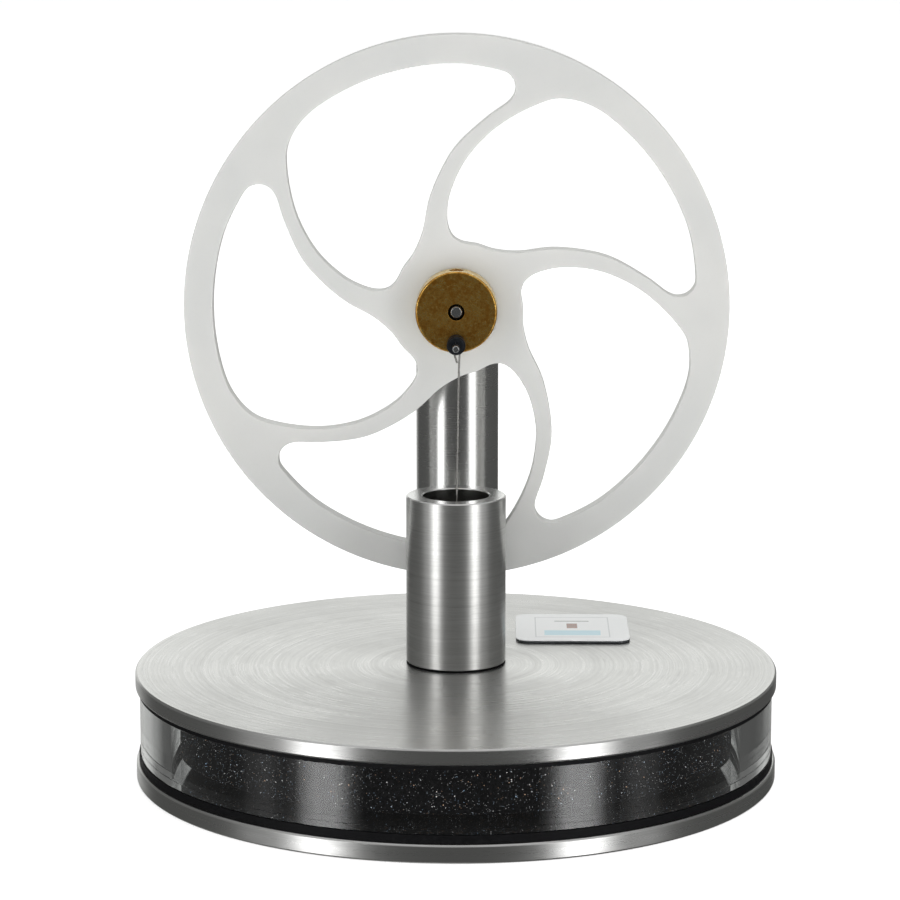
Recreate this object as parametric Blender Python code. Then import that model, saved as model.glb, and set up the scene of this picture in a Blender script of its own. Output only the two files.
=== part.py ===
"""Low-temperature-differential Stirling engine that runs on a warm cup.

Metres, +Z up. The origin is the centre of the bottom plate's underside, the shaft runs along Y and the
crank end of the shaft faces -Y. The crank stands at bottom dead centre, with the displacer lifted.
"""
import math

import bmesh
import bpy
from mathutils import Matrix

MM = 0.001

# fits
CLEAR = 0.05 * MM            # between pieces that rest on each other
SLIP = 0.02 * MM             # between a shaft and what is fixed on it
RUNNING = 0.05 * MM          # between pieces that turn or slide in each other
EDGE = 0.2 * MM              # chamfer on most corners
FINE_EDGE = 0.1 * MM         # chamfer on pins, magnets and the shaft
OVERSHOOT = 1.0 * MM         # how far a cutter reaches past the piece that it cuts

# sides of round pieces; pieces that fit in each other have the same number, so their facets nest
LARGE_SIDES = 64
SIDES = 32
SMALL_SIDES = 16
HEXAGON = 6

# base
PLATE_RADIUS = 46.35 * MM
PLATE_CHAMFER = 0.25 * MM
BOTTOM_PLATE_THICK = 2.6 * MM
BOTTOM_SEAL_THICK = 1.2 * MM
RING_HEIGHT = 8.9 * MM
TOP_SEAL_THICK = 0.55 * MM
TOP_PLATE_THICK = 2.3 * MM
RING_OUTER = 45.75 * MM
RING_WALL = 4.35 * MM
SEAL_OUTER = 45.95 * MM

# displacer, which lies under the top plate at the crank's bottom dead centre
DISPLACER_RADIUS = 40.0 * MM
DISPLACER_THICK = 8.0 * MM
DISPLACER_CHAMFER = 0.5 * MM
DISPLACER_HEADROOM = 0.25 * MM
GUIDE_PIN_RADIUS = 0.8 * MM
GUIDE_PIN_DEPTH = 1.6 * MM   # in the bottom plate
GUIDE_BUSH_RADIUS = 2.0 * MM
DISPLACER_MAGNET_RADIUS = 4.5 * MM
DISPLACER_MAGNET_THICK = 1.2 * MM

# power cylinder and piston
CYLINDER_Y = 1.5 * MM
CYLINDER_RADIUS = 7.2 * MM
CYLINDER_TOP = 40.5 * MM
CYLINDER_CHAMFER = 0.15 * MM
BORE_RADIUS = 4.8 * MM
SPIGOT_RADIUS = 5.6 * MM
GASKET_THICK = 0.15 * MM
PISTON_LENGTH = 7.0 * MM
PISTON_BOTTOM = 14.2 * MM
PISTON_MAGNET_RADIUS = 3.0 * MM
PISTON_MAGNET_THICK = 2.0 * MM
YOKE_WIDTH = 3.0 * MM        # along X
YOKE_DEPTH = 4.6 * MM        # along Y, over both prongs
YOKE_SLOT = 1.9 * MM
YOKE_BASE_THICK = 1.2 * MM
YOKE_PIN_HOLE = 0.3 * MM
YOKE_OVER_HOLE = 1.2 * MM

# crankshaft
SHAFT_Z = 66.45 * MM
SHAFT_RADIUS = 1.0 * MM
THROW = 4.5 * MM
HUB_FACE_Y = 5.3 * MM
HUB_RADIUS = 5.9 * MM
HUB_THICK = 4.05 * MM
HUB_BOSS_RADIUS = 3.0 * MM
HUB_RECESS_RADIUS = 1.2 * MM
HUB_RECESS_DEPTH = 0.5 * MM
HUB_GRUB_RADIUS = 1.0 * MM
HUB_GRUB_LENGTH = 3.6 * MM
CRANK_PIN_RADIUS = 0.5 * MM
CRANK_PIN_REACH = 5.6 * MM   # in front of the hub
CRANK_PIN_SEAT = 3.0 * MM    # inside the hub
PIN_COLLAR_RADIUS = 1.35 * MM
REAR_PIN_COLLAR = 0.9 * MM
FRONT_PIN_COLLAR = 1.2 * MM
FLYWHEEL_FRONT_Y = HUB_FACE_Y + HUB_THICK + CLEAR
FLYWHEEL_THICK = 3.0 * MM
FLYWHEEL_RADIUS = 39.6 * MM
SPOKES = 5
COLLAR_RADIUS = 2.8 * MM
COLLAR_THICK = 2.6 * MM
COLLAR_GRUB_RADIUS = 0.6 * MM
COLLAR_GRUB_LENGTH = 1.5 * MM
SHAFT_BEHIND_COLLAR = 0.8 * MM

# connecting rod
WIRE_RADIUS = 0.15 * MM
WIRE_SIDES_RESOLUTION = 2
WIRE_PLAY = 0.08 * MM        # between the loop and the pin or collar beside it
LOOP_RADIUS = CRANK_PIN_RADIUS + WIRE_RADIUS + WIRE_PLAY
LOOP_START = 215             # degrees; the loop runs clockwise from here
LOOP_TURN = 240
LOOP_STEPS = 16
STRAND_DROP = 1.0 * MM       # below the pin, where the long strand starts to lean in
TWIST_X = 0.55 * MM          # where the loop's two ends meet, beside and below the pin
TWIST_DROP = 2.4 * MM
TWIST_GAP = 0.39 * MM        # between the centre lines of the two ends
TWIST_TAIL = 0.3 * MM        # how far the short end stops above the meeting point
FOOT_Z = 32.0 * MM
FOOT_HALF = 0.45 * MM
FOOT_BEND = 2 * WIRE_RADIUS
FOOT_BEND_STEPS = 2

# tower and bearings
TOWER_Y = 19.6 * MM
TOWER_RADIUS = 6.1 * MM
TOWER_OVER_SHAFT = 5.0 * MM
TOWER_CHAMFER = 0.4 * MM
BEARING_RADIUS = 2.5 * MM
BEARING_WIDTH = 2.3 * MM
BEARING_INSET = 0.6 * MM
BEARING_INNER_RADIUS = 1.5 * MM
BEARING_RACE = 0.5 * MM
BEARING_SHIELD = 0.2 * MM
SCREW_RADIUS = 1.5 * MM
SCREW_HEAD_RADIUS = 2.7 * MM
SCREW_HEAD_THICK = 1.4 * MM
SCREW_LENGTH = 9.0 * MM
SCREW_SOCKET_RADIUS = 1.1 * MM
SCREW_SOCKET_DEPTH = 0.8 * MM
DRILL_TIP = 1.0 * MM         # the cone that a drill leaves past the end of the screw

# badge
BADGE_X = 17.3 * MM
BADGE_Y = 21.0 * MM
BADGE_WIDTH = 17.0 * MM
BADGE_DEPTH = 17.0 * MM
BADGE_THICK = 0.4 * MM
BADGE_CORNER = 2.0 * MM

# levels worked out from the stack of the base
RING_BOTTOM = BOTTOM_PLATE_THICK + BOTTOM_SEAL_THICK + 2 * CLEAR
RING_TOP = RING_BOTTOM + RING_HEIGHT
TOP_PLATE_BOTTOM = RING_TOP + TOP_SEAL_THICK + 2 * CLEAR
PLATE_TOP = TOP_PLATE_BOTTOM + TOP_PLATE_THICK
DISPLACER_TOP = TOP_PLATE_BOTTOM - DISPLACER_HEADROOM
DISPLACER_BOTTOM = DISPLACER_TOP - DISPLACER_THICK

# the crank pin's height, and the plane of the wire's loop between its two collars
PIN_Z = SHAFT_Z - THROW
LOOP_Y = HUB_FACE_Y - CLEAR - REAR_PIN_COLLAR - WIRE_RADIUS - WIRE_PLAY

# one window of the flywheel, as (radius in mm, angle in degrees): along the rim, down the convex side
# of one spoke, round the hub and back out along the concave side of the spoke before it
WINDOW = [
    (34.8, 7.5), (35.2, 18.0), (35.2, 30.0), (35.2, 42.0), (35.1, 54.0), (33.9, 62.5), (31.6, 68.4),
    (27.0, 77.0), (22.1, 85.3), (17.3, 92.0), (13.4, 95.4), (10.9, 93.9), (9.7, 86.0), (9.7, 71.0),
    (10.1, 56.0), (12.2, 41.5), (16.3, 31.8), (20.6, 23.2), (24.0, 16.8), (28.0, 8.6), (30.8, 3.6),
    (32.7, 2.7), (34.1, 4.2),
]
WINDOW_STEPS = 2             # straight pieces between two of its points


def clear_scene():
    for obj in list(bpy.data.objects):
        bpy.data.objects.remove(obj, do_unlink=True)


def finish_of(name, colour, metallic, roughness, transmission=0.0):
    material = bpy.data.materials.new(name)
    material.use_nodes = True
    shader = material.node_tree.nodes["Principled BSDF"]
    shader.inputs["Base Color"].default_value = (*colour, 1.0)
    shader.inputs["Metallic"].default_value = metallic
    shader.inputs["Roughness"].default_value = roughness
    shader.inputs["Transmission Weight"].default_value = transmission
    return material


def link(name, mesh, material, at=(0, 0, 0), along="Z", parent=None):
    """Put a mesh in the scene at a world place, its own Z turned to the world axis named by along."""
    obj = bpy.data.objects.new(name, mesh)
    bpy.context.collection.objects.link(obj)
    if material:
        mesh.materials.append(material)
    x, y, z = at
    if parent:
        obj.parent = parent
        x, y, z = x - parent.location.x, y - parent.location.y, z - parent.location.z
    obj.location = (x, y, z)
    if along == "Y":
        obj.rotation_euler = (-math.pi / 2, 0, 0)
    return obj


def mesh_from(name, bm):
    bmesh.ops.recalc_face_normals(bm, faces=bm.faces)
    mesh = bpy.data.meshes.new(name)
    bm.to_mesh(mesh)
    bm.free()
    mesh.shade_smooth()
    mesh.set_sharp_from_angle(angle=math.radians(30))
    return mesh


def turned_mesh(name, profile, sides):
    """Revolve a closed (radius, height) outline about Z."""
    bm = bmesh.new()
    rings = []
    for radius, height in profile:
        if radius == 0:
            rings.append([bm.verts.new((0, 0, height))])
            continue
        angles = [2 * math.pi * i / sides for i in range(sides)]
        rings.append([bm.verts.new((radius * math.cos(a), radius * math.sin(a), height)) for a in angles])
    for lower, upper in zip(rings, rings[1:] + rings[:1]):
        if len(lower) == len(upper) == 1:
            continue
        for i in range(sides):
            j = (i + 1) % sides
            below = [lower[i % len(lower)], lower[j % len(lower)]]
            above = [upper[j % len(upper)], upper[i % len(upper)]]
            bm.faces.new(list(dict.fromkeys(below + above)))
    return mesh_from(name, bm)


def turned(name, profile, material, sides=SIDES, at=(0, 0, 0), along="Z", parent=None):
    return link(name, turned_mesh(name, profile, sides), material, at, along, parent)


def tube_profile(inner, outer, bottom, top, chamfer=0.0):
    """Outline of a tube, or of a rod if inner is 0, with its outer corners chamfered."""
    if not chamfer:
        return [(inner, bottom), (outer, bottom), (outer, top), (inner, top)]
    return [
        (inner, bottom), (outer - chamfer, bottom), (outer, bottom + chamfer),
        (outer, top - chamfer), (outer - chamfer, top), (inner, top),
    ]


def extruded_mesh(name, outlines, thick):
    """Fill closed (x, y) outlines, the first outside and the others holes, and extrude them along Z."""
    bm = bmesh.new()
    edges = []
    for outline in outlines:
        verts = [bm.verts.new((x, y, 0)) for x, y in outline]
        edges += [bm.edges.new((verts[i - 1], verts[i])) for i in range(len(verts))]
    bmesh.ops.triangle_fill(bm, edges=edges, use_beauty=True)
    faces = bmesh.ops.extrude_face_region(bm, geom=list(bm.faces))["geom"]
    moved = [item for item in faces if isinstance(item, bmesh.types.BMVert)]
    bmesh.ops.translate(bm, verts=moved, vec=(0, 0, thick))
    return mesh_from(name, bm)


def cut(obj, cutter):
    """Subtract a guide solid, which stays out of the model."""
    cutter.hide_render = True
    cutter.display_type = "WIRE"
    boolean = obj.modifiers.new("cut", "BOOLEAN")
    boolean.operation = "DIFFERENCE"
    boolean.solver = "EXACT"
    boolean.object = cutter


def circle(radius, sides):
    return [(radius * math.cos(2 * math.pi * i / sides), radius * math.sin(2 * math.pi * i / sides))
            for i in range(sides)]


def smooth_loop(points, steps):
    """Closed Catmull-Rom curve through points, with steps samples a span."""
    count = len(points)
    loop = []
    for i in range(count):
        p0, p1, p2, p3 = (points[(i + k) % count] for k in (-1, 0, 1, 2))
        for step in range(steps):
            t = step / steps
            loop.append(tuple(
                0.5 * (2 * b + (c - a) * t + (2 * a - 5 * b + 4 * c - d) * t ** 2
                       + (3 * b - a - 3 * c + d) * t ** 3)
                for a, b, c, d in zip(p0, p1, p2, p3)
            ))
    return loop


def rounded_rectangle(width, depth, corner, steps=5):
    outline = []
    for quarter in range(4):
        sign_x = 1 if quarter in (0, 3) else -1
        sign_y = 1 if quarter in (0, 1) else -1
        for step in range(steps + 1):
            angle = math.pi / 2 * (quarter + step / steps)
            outline.append((sign_x * (width / 2 - corner) + corner * math.cos(angle),
                            sign_y * (depth / 2 - corner) + corner * math.sin(angle)))
    return outline


def axis_empty(name, at):
    empty = bpy.data.objects.new(name, None)
    bpy.context.collection.objects.link(empty)
    empty.location = at
    return empty


def make_materials():
    return {
        "aluminium": finish_of("turned_aluminium", (0.72, 0.73, 0.74), 1.0, 0.28),
        "cylinder": finish_of("brushed_steel", (0.62, 0.62, 0.62), 1.0, 0.25),
        "polished": finish_of("polished_aluminium", (0.78, 0.79, 0.8), 1.0, 0.12),
        "rubber": finish_of("black_rubber", (0.012, 0.012, 0.013), 0.0, 0.5),
        "acrylic": finish_of("clear_acrylic", (0.95, 0.96, 0.96), 0.0, 0.03, 1.0),
        "foam": finish_of("black_foam", (0.015, 0.015, 0.016), 0.0, 0.8),
        "white": finish_of("white_plastic", (0.82, 0.82, 0.8), 0.0, 0.35),
        "brass": finish_of("brass", (0.55, 0.36, 0.12), 1.0, 0.35),
        "steel": finish_of("bright_steel", (0.55, 0.56, 0.57), 1.0, 0.22),
        "dark": finish_of("blackened_steel", (0.06, 0.06, 0.06), 1.0, 0.4),
        "collar": finish_of("black_plastic", (0.01, 0.011, 0.013), 0.0, 0.35),
        "graphite": finish_of("graphite", (0.045, 0.045, 0.05), 0.2, 0.45),
        "magnet": finish_of("nickel_plate", (0.6, 0.58, 0.55), 1.0, 0.2),
        "ptfe": finish_of("white_ptfe", (0.8, 0.8, 0.78), 0.0, 0.4),
        "badge": finish_of("printed_badge", (0.85, 0.87, 0.88), 0.0, 0.4),
    }


def make_base(mats):
    top = BOTTOM_PLATE_THICK
    chamfer = PLATE_CHAMFER
    hole = GUIDE_PIN_RADIUS + SLIP
    seat = top - GUIDE_PIN_DEPTH
    turned("bottom_plate", [
        (0, 0), (PLATE_RADIUS - chamfer, 0), (PLATE_RADIUS, chamfer), (PLATE_RADIUS, top - chamfer),
        (PLATE_RADIUS - chamfer, top), (hole, top), (hole, seat), (0, seat),
    ], mats["aluminium"], LARGE_SIDES)
    turned("guide_pin", tube_profile(0, GUIDE_PIN_RADIUS, seat + CLEAR, DISPLACER_TOP, EDGE),
           mats["steel"], SMALL_SIDES)
    inner = RING_OUTER - RING_WALL
    turned("bottom_seal", tube_profile(inner, SEAL_OUTER, top + CLEAR, RING_BOTTOM - CLEAR),
           mats["rubber"], LARGE_SIDES)
    turned("chamber_ring", tube_profile(inner, RING_OUTER, RING_BOTTOM, RING_TOP),
           mats["acrylic"], LARGE_SIDES)
    turned("top_seal", tube_profile(inner, SEAL_OUTER, RING_TOP + CLEAR, TOP_PLATE_BOTTOM - CLEAR),
           mats["rubber"], LARGE_SIDES)


def make_top_plate(mats):
    plate = turned("top_plate", tube_profile(0, PLATE_RADIUS, TOP_PLATE_BOTTOM, PLATE_TOP, PLATE_CHAMFER),
                   mats["aluminium"], LARGE_SIDES)
    below = TOP_PLATE_BOTTOM - OVERSHOOT
    above = PLATE_TOP + OVERSHOOT
    cut(plate, turned("cylinder_hole_cutter", tube_profile(0, SPIGOT_RADIUS + CLEAR, below, above),
                      None, SIDES, at=(0, CYLINDER_Y, 0)))
    head = SCREW_HEAD_RADIUS + CLEAR
    shank = SCREW_RADIUS + CLEAR
    cone_top = TOP_PLATE_BOTTOM + SCREW_HEAD_THICK + CLEAR
    cut(plate, turned("screw_hole_cutter", [
        (0, below), (head, below), (head, TOP_PLATE_BOTTOM + CLEAR), (shank, cone_top),
        (shank, above), (0, above),
    ], None, SMALL_SIDES, at=(0, TOWER_Y, 0)))


def make_cylinder(mats):
    foot = PLATE_TOP + CLEAR
    gasket_top = foot + GASKET_THICK
    turned("cylinder_gasket", tube_profile(SPIGOT_RADIUS + CLEAR, CYLINDER_RADIUS, foot, gasket_top),
           mats["rubber"], at=(0, CYLINDER_Y, 0))
    spigot_end = TOP_PLATE_BOTTOM + CLEAR
    shoulder = gasket_top + CLEAR
    top = CYLINDER_TOP
    chamfer = CYLINDER_CHAMFER
    turned("power_cylinder", [
        (BORE_RADIUS, spigot_end), (SPIGOT_RADIUS, spigot_end), (SPIGOT_RADIUS, shoulder),
        (CYLINDER_RADIUS - chamfer, shoulder), (CYLINDER_RADIUS, shoulder + chamfer),
        (CYLINDER_RADIUS, top - chamfer), (CYLINDER_RADIUS - chamfer, top),
        (BORE_RADIUS + chamfer, top), (BORE_RADIUS, top - chamfer),
    ], mats["cylinder"], at=(0, CYLINDER_Y, 0))


def make_tower(mats):
    foot = PLATE_TOP + CLEAR
    top = SHAFT_Z + TOWER_OVER_SHAFT
    chamfer = TOWER_CHAMFER
    screw_top = TOP_PLATE_BOTTOM + SCREW_LENGTH
    hole = SCREW_RADIUS + SLIP
    tower = turned("tower", [
        (hole, foot), (TOWER_RADIUS, foot), (TOWER_RADIUS, top - chamfer), (TOWER_RADIUS - chamfer, top),
        (0, top), (0, screw_top + DRILL_TIP), (hole, screw_top + DRILL_TIP / 2),
    ], mats["polished"], at=(0, TOWER_Y, 0))
    reach = TOWER_RADIUS + OVERSHOOT
    cut(tower, turned("bearing_hole_cutter", tube_profile(0, BEARING_RADIUS + SLIP, -reach, reach),
                      None, SIDES, at=(0, TOWER_Y, SHAFT_Z), along="Y"))
    screw = turned("tower_screw", [
        (0, TOP_PLATE_BOTTOM + CLEAR), (SCREW_HEAD_RADIUS, TOP_PLATE_BOTTOM + CLEAR),
        (SCREW_RADIUS, TOP_PLATE_BOTTOM + SCREW_HEAD_THICK), (SCREW_RADIUS, screw_top), (0, screw_top),
    ], mats["steel"], SMALL_SIDES, at=(0, TOWER_Y, 0))
    below = TOP_PLATE_BOTTOM - OVERSHOOT
    socket_end = TOP_PLATE_BOTTOM + SCREW_SOCKET_DEPTH
    cut(screw, turned("screw_socket_cutter", tube_profile(0, SCREW_SOCKET_RADIUS, below, socket_end),
                      None, HEXAGON, at=(0, TOWER_Y, 0)))


def bearing_front_faces():
    front = TOWER_Y - TOWER_RADIUS + BEARING_INSET
    rear = TOWER_Y + TOWER_RADIUS - BEARING_INSET - BEARING_WIDTH
    return {"front": front, "rear": rear}


def make_bearings(mats, crank_axis):
    shield_inner = BEARING_INNER_RADIUS + RUNNING
    race_inner = BEARING_RADIUS - BEARING_RACE
    back = BEARING_WIDTH
    for place, y in bearing_front_faces().items():
        turned(f"{place}_bearing_outer_ring", [
            (shield_inner, 0), (BEARING_RADIUS, 0), (BEARING_RADIUS, back), (shield_inner, back),
            (shield_inner, back - BEARING_SHIELD), (race_inner, back - BEARING_SHIELD),
            (race_inner, BEARING_SHIELD), (shield_inner, BEARING_SHIELD),
        ], mats["steel"], SIDES, at=(0, y, SHAFT_Z), along="Y")
        turned(f"{place}_bearing_inner_ring",
               tube_profile(SHAFT_RADIUS + SLIP, BEARING_INNER_RADIUS, 0, back),
               mats["steel"], SIDES, at=(0, y, SHAFT_Z), along="Y", parent=crank_axis)


def make_badge(mats):
    outline = rounded_rectangle(BADGE_WIDTH, BADGE_DEPTH, BADGE_CORNER)
    link("badge", extruded_mesh("badge", [outline], BADGE_THICK), mats["badge"],
         at=(BADGE_X, BADGE_Y, PLATE_TOP + CLEAR))


def make_hub(mats, crank_axis):
    boss_end = HUB_THICK + FLYWHEEL_THICK + CLEAR
    bore = SHAFT_RADIUS + SLIP
    hub = turned("crank_hub", [
        (HUB_RECESS_RADIUS, 0), (HUB_RADIUS - EDGE, 0), (HUB_RADIUS, EDGE), (HUB_RADIUS, HUB_THICK),
        (HUB_BOSS_RADIUS, HUB_THICK), (HUB_BOSS_RADIUS, boss_end), (bore, boss_end),
        (bore, HUB_RECESS_DEPTH), (HUB_RECESS_RADIUS, HUB_RECESS_DEPTH),
    ], mats["brass"], at=(0, HUB_FACE_Y, SHAFT_Z), along="Y", parent=crank_axis)
    seat = CRANK_PIN_SEAT + CLEAR
    cut(hub, turned("pin_hole_cutter", tube_profile(0, CRANK_PIN_RADIUS + SLIP, -OVERSHOOT, seat),
                    None, SMALL_SIDES, at=(0, HUB_FACE_Y, PIN_Z), along="Y"))
    grub_y = HUB_FACE_Y + HUB_THICK / 2
    above = HUB_RADIUS + OVERSHOOT
    cut(hub, turned("grub_hole_cutter", tube_profile(0, HUB_GRUB_RADIUS + SLIP, 0, above),
                    None, SMALL_SIDES, at=(0, grub_y, SHAFT_Z)))
    make_grub("hub_grub_screw", mats, crank_axis, grub_y, HUB_GRUB_RADIUS, HUB_GRUB_LENGTH)


def make_grub(name, mats, crank_axis, y, radius, length):
    """A socket set screw that stands on the shaft."""
    foot = SHAFT_RADIUS + CLEAR
    top = foot + length
    chamfer = radius / 6
    screw = turned(name, tube_profile(0, radius, foot, top, chamfer), mats["dark"], SMALL_SIDES,
                   at=(0, y, SHAFT_Z), parent=crank_axis)
    socket = tube_profile(0, radius / 2, top - length / 2, top + OVERSHOOT)
    cut(screw, turned(f"{name}_socket_cutter", socket, None, HEXAGON, at=(0, y, SHAFT_Z)))


def make_flywheel(mats, crank_axis):
    outlines = [circle(FLYWHEEL_RADIUS, LARGE_SIDES), circle(HUB_BOSS_RADIUS + CLEAR, SIDES)]
    for spoke in range(SPOKES):
        turn = 2 * math.pi * spoke / SPOKES
        corners = [(r * MM * math.cos(math.radians(a) + turn), -r * MM * math.sin(math.radians(a) + turn))
                   for r, a in WINDOW]
        outlines.append(smooth_loop(corners, WINDOW_STEPS))
    link("flywheel", extruded_mesh("flywheel", outlines, FLYWHEEL_THICK), mats["white"],
         at=(0, FLYWHEEL_FRONT_Y, SHAFT_Z), along="Y", parent=crank_axis)


def make_crankshaft(mats, crank_axis):
    bearings = bearing_front_faces()
    collar_y = TOWER_Y + TOWER_RADIUS + 2 * CLEAR
    shaft_front = HUB_FACE_Y + CLEAR
    shaft_back = collar_y + COLLAR_THICK + SHAFT_BEHIND_COLLAR
    turned("shaft", tube_profile(0, SHAFT_RADIUS, shaft_front, shaft_back, FINE_EDGE), mats["steel"], SIDES,
           at=(0, 0, SHAFT_Z), along="Y", parent=crank_axis)
    boss_end = FLYWHEEL_FRONT_Y + FLYWHEEL_THICK
    for name, start, end in (("front_spacer", boss_end, bearings["front"]),
                             ("rear_spacer", bearings["rear"] + BEARING_WIDTH, collar_y)):
        spacer = tube_profile(SHAFT_RADIUS + SLIP, BEARING_INNER_RADIUS - SLIP, start + CLEAR, end - CLEAR)
        turned(name, spacer, mats["steel"], SIDES, at=(0, 0, SHAFT_Z), along="Y", parent=crank_axis)
    collar = turned("rear_collar", tube_profile(SHAFT_RADIUS + SLIP, COLLAR_RADIUS, 0, COLLAR_THICK, EDGE),
                    mats["brass"], SIDES, at=(0, collar_y, SHAFT_Z), along="Y", parent=crank_axis)
    grub_y = collar_y + COLLAR_THICK / 2
    above = COLLAR_RADIUS + OVERSHOOT
    cut(collar, turned("collar_hole_cutter", tube_profile(0, COLLAR_GRUB_RADIUS + SLIP, 0, above),
                       None, SMALL_SIDES, at=(0, grub_y, SHAFT_Z)))
    make_grub("collar_grub_screw", mats, crank_axis, grub_y, COLLAR_GRUB_RADIUS, COLLAR_GRUB_LENGTH)


def make_crank_pin(mats, crank_axis):
    """The pin in the hub, and the two collars that keep the wire's loop between them."""
    tip = HUB_FACE_Y - CRANK_PIN_REACH
    end = HUB_FACE_Y + CRANK_PIN_SEAT
    turned("crank_pin", tube_profile(0, CRANK_PIN_RADIUS, tip, end, FINE_EDGE), mats["steel"], SMALL_SIDES,
           at=(0, 0, PIN_Z), along="Y", parent=crank_axis)
    rear_front = HUB_FACE_Y - CLEAR - REAR_PIN_COLLAR
    front_back = LOOP_Y - (rear_front - LOOP_Y)
    for name, start, length in (("rear_pin_collar", rear_front, REAR_PIN_COLLAR),
                                ("front_pin_collar", front_back - FRONT_PIN_COLLAR, FRONT_PIN_COLLAR)):
        turned(name, tube_profile(CRANK_PIN_RADIUS + SLIP, PIN_COLLAR_RADIUS, 0, length, EDGE),
               mats["collar"], SMALL_SIDES, at=(0, start, PIN_Z), along="Y", parent=crank_axis)


def wire_route():
    """The rod's centre line: round the crank pin, down to the piston, and its bent foot."""
    twist_z = PIN_Z - TWIST_DROP
    route = [(TWIST_X - TWIST_GAP, LOOP_Y, twist_z + TWIST_TAIL)]
    for step in range(LOOP_STEPS + 1):
        angle = math.radians(LOOP_START - LOOP_TURN * step / LOOP_STEPS)
        route.append((LOOP_RADIUS * math.cos(angle), LOOP_Y, PIN_Z + LOOP_RADIUS * math.sin(angle)))
    route.append((LOOP_RADIUS, LOOP_Y, PIN_Z - STRAND_DROP))
    route.append((TWIST_X, LOOP_Y, twist_z))
    for step in range(FOOT_BEND_STEPS + 1):
        angle = math.pi / 2 * step / FOOT_BEND_STEPS
        route.append((0, CYLINDER_Y - FOOT_HALF + FOOT_BEND * (1 - math.cos(angle)),
                      FOOT_Z + FOOT_BEND * (1 - math.sin(angle))))
    route.append((0, CYLINDER_Y + FOOT_HALF, FOOT_Z))
    return route


def make_conrod(mats, pin_axis):
    curve = bpy.data.curves.new("conrod_wire", "CURVE")
    curve.dimensions = "3D"
    curve.bevel_depth = WIRE_RADIUS
    curve.bevel_resolution = WIRE_SIDES_RESOLUTION
    curve.use_fill_caps = True
    points = wire_route()
    spline = curve.splines.new("POLY")
    spline.points.add(len(points) - 1)
    for point, place in zip(spline.points, points):
        local = [place[i] - pin_axis.location[i] for i in range(3)]
        point.co = (*local, 1)
    curve.materials.append(mats["steel"])
    obj = bpy.data.objects.new("conrod_wire", curve)
    bpy.context.collection.objects.link(obj)
    obj.parent = pin_axis


def make_piston(mats):
    axis = axis_empty("piston_axis", (0, CYLINDER_Y, PISTON_BOTTOM))
    at = (0, CYLINDER_Y, 0)
    top = PISTON_BOTTOM + PISTON_LENGTH
    recess = PISTON_MAGNET_RADIUS + CLEAR
    magnet_top = PISTON_BOTTOM + PISTON_MAGNET_THICK
    magnet_seat = magnet_top + CLEAR
    radius = BORE_RADIUS - RUNNING
    turned("power_piston", [
        (recess, PISTON_BOTTOM), (radius - EDGE, PISTON_BOTTOM), (radius, PISTON_BOTTOM + EDGE),
        (radius, top - EDGE), (radius - EDGE, top), (0, top), (0, magnet_seat), (recess, magnet_seat),
    ], mats["graphite"], at=at, parent=axis)
    turned("piston_magnet", tube_profile(0, PISTON_MAGNET_RADIUS, PISTON_BOTTOM, magnet_top, FINE_EDGE),
           mats["magnet"], SIDES, at=at, parent=axis)
    base = top + CLEAR
    floor = base + YOKE_BASE_THICK
    tip = FOOT_Z + YOKE_OVER_HOLE
    half = YOKE_DEPTH / 2
    slot = YOKE_SLOT / 2
    outline = [
        (half, base), (half, tip), (slot, tip), (slot, floor),
        (-slot, floor), (-slot, tip), (-half, tip), (-half, base),
    ]
    mesh = extruded_mesh("piston_yoke", [outline], YOKE_WIDTH)
    # the outline was drawn as (y, z) and extruded along z: turn it up and centre it on x
    turn = Matrix(((0, 0, 1, -YOKE_WIDTH / 2), (1, 0, 0, 0), (0, 1, 0, 0), (0, 0, 0, 1)))
    mesh.transform(turn)
    yoke = link("piston_yoke", mesh, mats["aluminium"], at=at, parent=axis)
    cut(yoke, turned("yoke_hole_cutter", tube_profile(0, YOKE_PIN_HOLE, -YOKE_DEPTH, YOKE_DEPTH),
                     None, SMALL_SIDES, at=(0, CYLINDER_Y, FOOT_Z), along="Y"))


def make_displacer(mats):
    axis = axis_empty("displacer_axis", (0, 0, DISPLACER_BOTTOM))
    chamfer = DISPLACER_CHAMFER
    bush = GUIDE_BUSH_RADIUS
    recess = DISPLACER_MAGNET_RADIUS + CLEAR
    magnet_bottom = DISPLACER_TOP - DISPLACER_MAGNET_THICK
    turned("displacer_foam", [
        (bush + CLEAR, DISPLACER_BOTTOM), (DISPLACER_RADIUS - chamfer, DISPLACER_BOTTOM),
        (DISPLACER_RADIUS, DISPLACER_BOTTOM + chamfer), (DISPLACER_RADIUS, DISPLACER_TOP),
        (recess, DISPLACER_TOP), (recess, magnet_bottom - CLEAR), (bush + CLEAR, magnet_bottom - CLEAR),
    ], mats["foam"], LARGE_SIDES, parent=axis)
    magnet = tube_profile(bush + CLEAR, DISPLACER_MAGNET_RADIUS, magnet_bottom, DISPLACER_TOP)
    turned("displacer_magnet", magnet, mats["magnet"], SIDES, parent=axis)
    turned("guide_bush", tube_profile(GUIDE_PIN_RADIUS + RUNNING, bush, DISPLACER_BOTTOM, DISPLACER_TOP),
           mats["ptfe"], SMALL_SIDES, parent=axis)


def main():
    clear_scene()
    mats = make_materials()
    crank_axis = axis_empty("crank_axis", (0, TOWER_Y, SHAFT_Z))
    pin_axis = axis_empty("crank_pin_axis", (0, LOOP_Y, PIN_Z))
    make_base(mats)
    make_top_plate(mats)
    make_cylinder(mats)
    make_tower(mats)
    make_badge(mats)
    make_bearings(mats, crank_axis)
    make_crankshaft(mats, crank_axis)
    make_crank_pin(mats, crank_axis)
    make_hub(mats, crank_axis)
    make_flywheel(mats, crank_axis)
    make_conrod(mats, pin_axis)
    make_piston(mats)
    make_displacer(mats)


main()
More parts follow.
